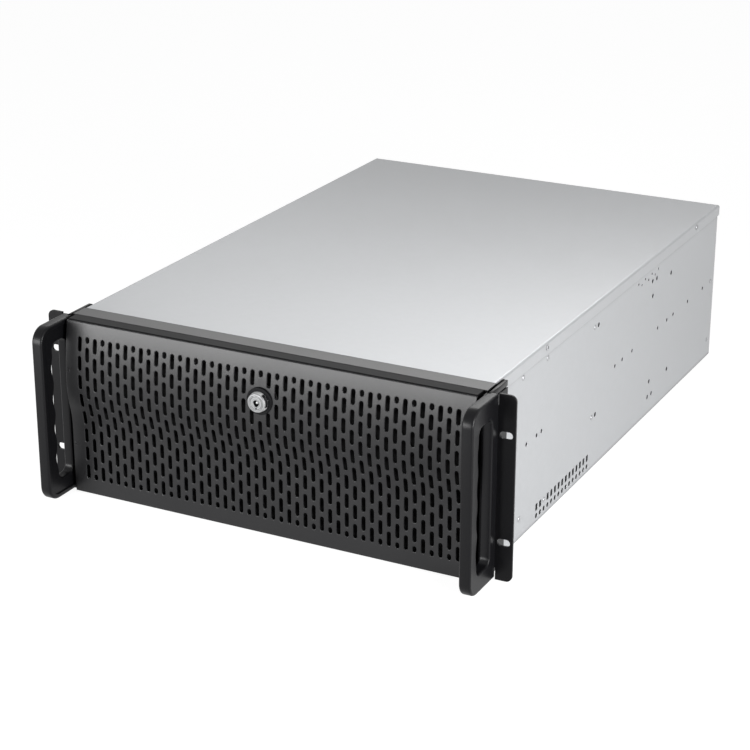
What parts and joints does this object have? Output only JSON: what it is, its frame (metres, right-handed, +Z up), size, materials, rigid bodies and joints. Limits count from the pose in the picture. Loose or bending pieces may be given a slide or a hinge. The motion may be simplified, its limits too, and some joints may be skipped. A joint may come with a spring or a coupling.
{
  "type": "rack_server",
  "caption": "Rack server with a galvanised steel case, a wave-shaped perforated black drop-down door with a lock, rack ears with loop handles, and accelerator cards inside",
  "frame": {"origin": "centre of the bounding box's floor: under the case, midway from the handle fronts to the back", "axes": "+X to the right seen from the front, +Y towards the back, +Z up"},
  "size_m": [0.4826, 0.6786, 0.177],
  "materials": {
    "galvanised": "zinc-coated steel sheet with a soft sheen",
    "bracket_steel": "plain nickel-plated sheet",
    "supply_grey": "dark powder coat",
    "black_paint": "satin black powder coat",
    "black_plastic": "moulded black plastic",
    "handle_black": "satin black coat on cast metal",
    "zinc": "bright zinc",
    "black_screw": "blackened steel",
    "standoff_brass": "turned brass",
    "filter_foam": "open black filter mesh",
    "lock_chrome": "polished chrome",
    "button_plastic": "glossy black plastic",
    "light_pipe": "clear light pipe",
    "port_metal": "tinned steel",
    "board_green": "solder-masked board",
    "card_green": "solder-masked board",
    "socket_plastic": "black connector plastic",
    "fin_aluminium": "extruded aluminium fins",
    "shroud_black": "black sheet shroud",
    "drive_aluminium": "cast drive case",
    "fan_black": "black fan plastic",
    "rotor_black": "black fan plastic"
  },
  "bodies": {
    "case": {"chassis_tub": "galvanised", "rear_panel": "galvanised", "fan_wall": "galvanised", "drive_cages": "galvanised", "card_retention_bar": "galvanised", "slot_cover": "bracket_steel", "card_brackets": "bracket_steel", "io_shield": "bracket_steel", "supply_case": "supply_grey", "front_frame": "black_paint", "right_handle": "handle_black", "left_handle": "handle_black", "right_rack_ear": "black_paint", "left_rack_ear": "black_paint", "side_rivets": "zinc", "ear_screws": "black_screw", "rear_screws": "zinc", "board_standoffs": "standoff_brass", "control_box": "black_plastic", "status_lights": "light_pipe", "front_usb_ports": "port_metal", "usb_stacks": "port_metal", "network_jacks": "port_metal", "mainboard": "board_green", "card_boards": "card_green", "memory_modules": "card_green", "memory_slots": "socket_plastic", "card_sockets": "socket_plastic", "processor_sockets": "port_metal", "processor_coolers": "fin_aluminium", "card_heatsinks": "fin_aluminium", "card_shrouds": "shroud_black", "hard_drives": "drive_aluminium", "wall_fan_frames": "fan_black", "rear_fan_frames": "fan_black", "supply_fan_frame": "fan_black", "mains_inlet": "black_plastic", "switch_frame": "black_plastic"},
    "cover": {"top_cover": "galvanised", "cover_screws": "zinc"},
    "door": {"door_skin": "black_paint", "door_frame": "black_plastic", "dust_filter": "filter_foam", "hinge_pins": "zinc", "skin_screws": "zinc", "lock_ring": "black_plastic", "lock_barrel": "lock_chrome", "lock_nut": "zinc"},
    "lock": {"lock_plug": "lock_chrome", "lock_cam": "zinc"},
    "power_button": {"power_button": "button_plastic"},
    "reset_button": {"reset_button": "button_plastic"},
    "switch_rocker": {"switch_rocker": "rotor_black"},
    "wall_fan_left": {"wall_fan_rotor_left": "rotor_black"},
    "wall_fan_centre": {"wall_fan_rotor_centre": "rotor_black"},
    "wall_fan_right": {"wall_fan_rotor_right": "rotor_black"},
    "rear_fan_left": {"rear_fan_rotor_left": "rotor_black"},
    "rear_fan_right": {"rear_fan_rotor_right": "rotor_black"},
    "supply_fan": {"supply_fan_rotor": "rotor_black"}
  },
  "joints": [
    {"name": "door_hinge", "type": "hinge", "parent": "case", "child": "door", "pos_m": [0, -0.2942, 0.008], "axis": [1, 0, 0], "range_deg": [0, 85]},
    {"name": "lock_turn", "type": "hinge", "parent": "door", "child": "lock", "pos_m": [0, -0.2837, 0.135], "axis": [0, -1, 0], "range_deg": [0, 90]},
    {"name": "cover_lift", "type": "slide", "parent": "case", "child": "cover", "axis": [0, 0, 1], "range_m": [0, 0.2]},
    {"name": "power_press", "type": "slide", "parent": "case", "child": "power_button", "axis": [0, 1, 0], "range_m": [0, 0.002], "stiffness_N_per_m": 400},
    {"name": "reset_press", "type": "slide", "parent": "case", "child": "reset_button", "axis": [0, 1, 0], "range_m": [0, 0.002], "stiffness_N_per_m": 400},
    {"name": "switch_rock", "type": "hinge", "parent": "case", "child": "switch_rocker", "pos_m": [0.163, 0.3258, 0.0512], "axis": [0, 0, 1], "range_deg": [0, 16]},
    {"name": "wall_fan_left_spin", "type": "hinge", "parent": "case", "child": "wall_fan_left", "pos_m": [-0.13, -0.019, 0.088], "axis": [0, 1, 0], "continuous": true},
    {"name": "wall_fan_centre_spin", "type": "hinge", "parent": "case", "child": "wall_fan_centre", "pos_m": [0, -0.019, 0.088], "axis": [0, 1, 0], "continuous": true},
    {"name": "wall_fan_right_spin", "type": "hinge", "parent": "case", "child": "wall_fan_right", "pos_m": [0.13, -0.019, 0.088], "axis": [0, 1, 0], "continuous": true},
    {"name": "rear_fan_left_spin", "type": "hinge", "parent": "case", "child": "rear_fan_left", "pos_m": [-0.00795, 0.3203, 0.105], "axis": [0, 1, 0], "continuous": true},
    {"name": "rear_fan_right_spin", "type": "hinge", "parent": "case", "child": "rear_fan_right", "pos_m": [0.07205, 0.3203, 0.105], "axis": [0, 1, 0], "continuous": true},
    {"name": "supply_fan_spin", "type": "hinge", "parent": "case", "child": "supply_fan", "pos_m": [0.163, 0.3191, 0.1042], "axis": [0, 1, 0], "continuous": true}
  ]
}
